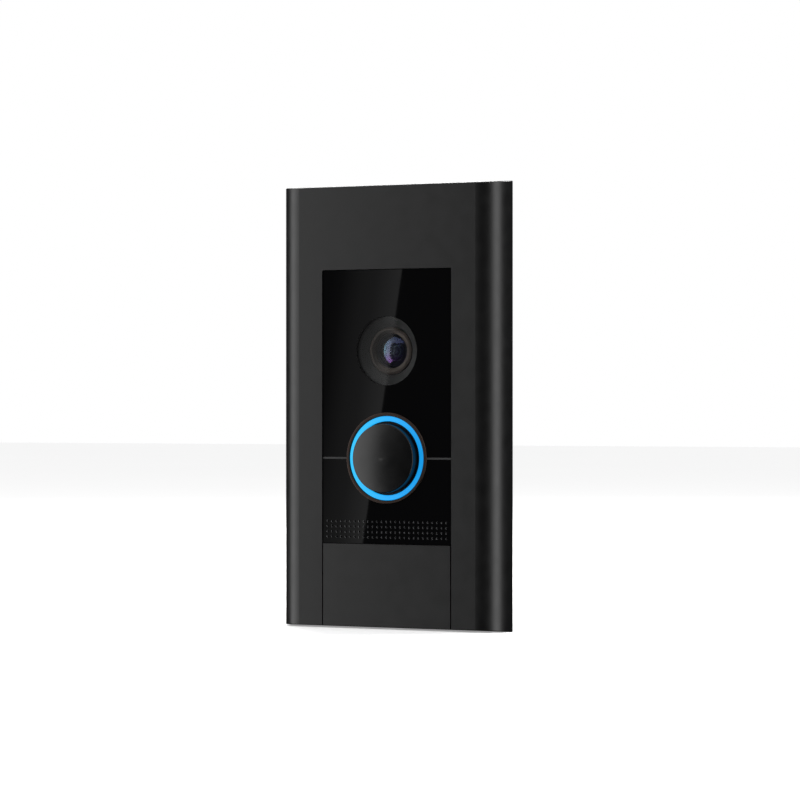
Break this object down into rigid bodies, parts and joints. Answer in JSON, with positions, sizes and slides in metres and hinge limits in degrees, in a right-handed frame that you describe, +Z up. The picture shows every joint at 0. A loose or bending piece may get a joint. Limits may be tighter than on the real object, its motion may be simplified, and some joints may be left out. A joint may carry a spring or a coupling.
{
  "type": "video doorbell",
  "caption": "Wall-recessed video doorbell: black faceplate, glass camera window, sprung call button in a light ring, speaker perforations and a rear network jack.",
  "frame": {"origin": "centre of the two wall-screw holes, on the wall plane at the bracket's back face", "axes": "+Z up, -Y out of the wall towards the visitor, +X to the visitor's right"},
  "size_m": [0.0698, 0.055, 0.1218],
  "materials": {
    "satin_black": "satin",
    "frame_black": "matte",
    "window_glass": "gloss",
    "divider_grey": "satin",
    "tape": "matte",
    "mesh": "matte",
    "seal_rubber": "matte",
    "bezel_metal": "satin",
    "light_guide": "translucent",
    "button_black": "satin",
    "lens_metal": "satin",
    "lens_glass": "coated",
    "filter_glass": "coated",
    "sensor_dark": "gloss",
    "board_green": "satin",
    "led_white": "gloss",
    "lamp_dark": "gloss",
    "steel": "satin",
    "zinc_steel": "satin",
    "chip_black": "matte",
    "aluminium": "satin",
    "brass": "satin",
    "cream_plastic": "satin",
    "amber_film": "satin",
    "ferrite": "matte",
    "can_sleeve": "gloss",
    "contact_gold": "gloss",
    "diaphragm": "matte"
  },
  "bodies": {
    "doorbell_body": {"faceplate": "satin_black", "lower_trim_panel": "satin_black", "security_screw": "steel", "camera_window": "window_glass", "speaker_panel": "window_glass", "divider_strips": "divider_grey", "window_tape": "tape", "speaker_mesh": "mesh", "chassis": "frame_black", "faceplate_seal": "seal_rubber", "button_bezel": "bezel_metal", "light_ring": "light_guide", "button_guide": "frame_black", "button_spring": "steel", "button_switch_body": "chip_black", "ring_board": "board_green", "ring_leds": "led_white", "ring_board_screws": "zinc_steel", "camera_funnel": "frame_black", "lens_bezel": "lens_metal", "lens_barrel": "chip_black", "front_lens": "lens_glass", "middle_lens": "lens_glass", "ir_filter": "filter_glass", "image_sensor": "sensor_dark", "lens_holder": "chip_black", "sensor_board": "board_green", "sensor_connector": "cream_plastic", "sensor_board_screws": "zinc_steel", "front_board": "board_green", "ir_leds": "lamp_dark", "acoustic_gasket": "seal_rubber", "microphone": "brass", "speaker_frame": "chip_black", "speaker_diaphragm": "diaphragm", "speaker_magnet": "steel", "mounting_bracket": "zinc_steel", "wall_gasket": "seal_rubber", "rear_housing": "frame_black", "housing_seal": "seal_rubber", "main_board": "board_green", "processor": "chip_black", "heat_spreader": "aluminium", "ring_flex": "amber_film", "stack_connector": "cream_plastic", "power_board": "board_green", "power_transformer": "ferrite", "capacitors": "can_sleeve", "network_jack": "chip_black", "jack_contacts": "contact_gold", "reset_switch_body": "chip_black", "body_screws": "zinc_steel", "housing_screws": "zinc_steel", "power_board_screws": "zinc_steel", "standoffs": "brass"},
    "call_button": {"button_cap": "button_black"},
    "call_switch": {"button_switch_plunger": "cream_plastic"},
    "reset_key": {"reset_button": "cream_plastic"},
    "reset_switch": {"reset_switch_plunger": "cream_plastic"}
  },
  "joints": [
    {"name": "call_button_press", "type": "slide", "parent": "doorbell_body", "child": "call_button", "axis": [0, 1, 0], "range_m": [0, 0.0006], "stiffness_N_per_m": 900, "springref_m": -0.0015, "deforming": ["button_spring"]},
    {"name": "call_switch_press", "type": "slide", "parent": "doorbell_body", "child": "call_switch", "axis": [0, 1, 0], "range_m": [0, 0.0006]},
    {"name": "reset_button_press", "type": "slide", "parent": "doorbell_body", "child": "reset_key", "axis": [0, -1, 0], "range_m": [0, 0.0003], "stiffness_N_per_m": 1500, "springref_m": -0.0005},
    {"name": "reset_switch_press", "type": "slide", "parent": "doorbell_body", "child": "reset_switch", "axis": [0, -1, 0], "range_m": [0, 0.0003]}
  ],
  "couplings": [
    {"joint": "call_switch_press", "follows": "call_button_press", "ratio": 1},
    {"joint": "reset_switch_press", "follows": "reset_button_press", "ratio": 1}
  ]
}
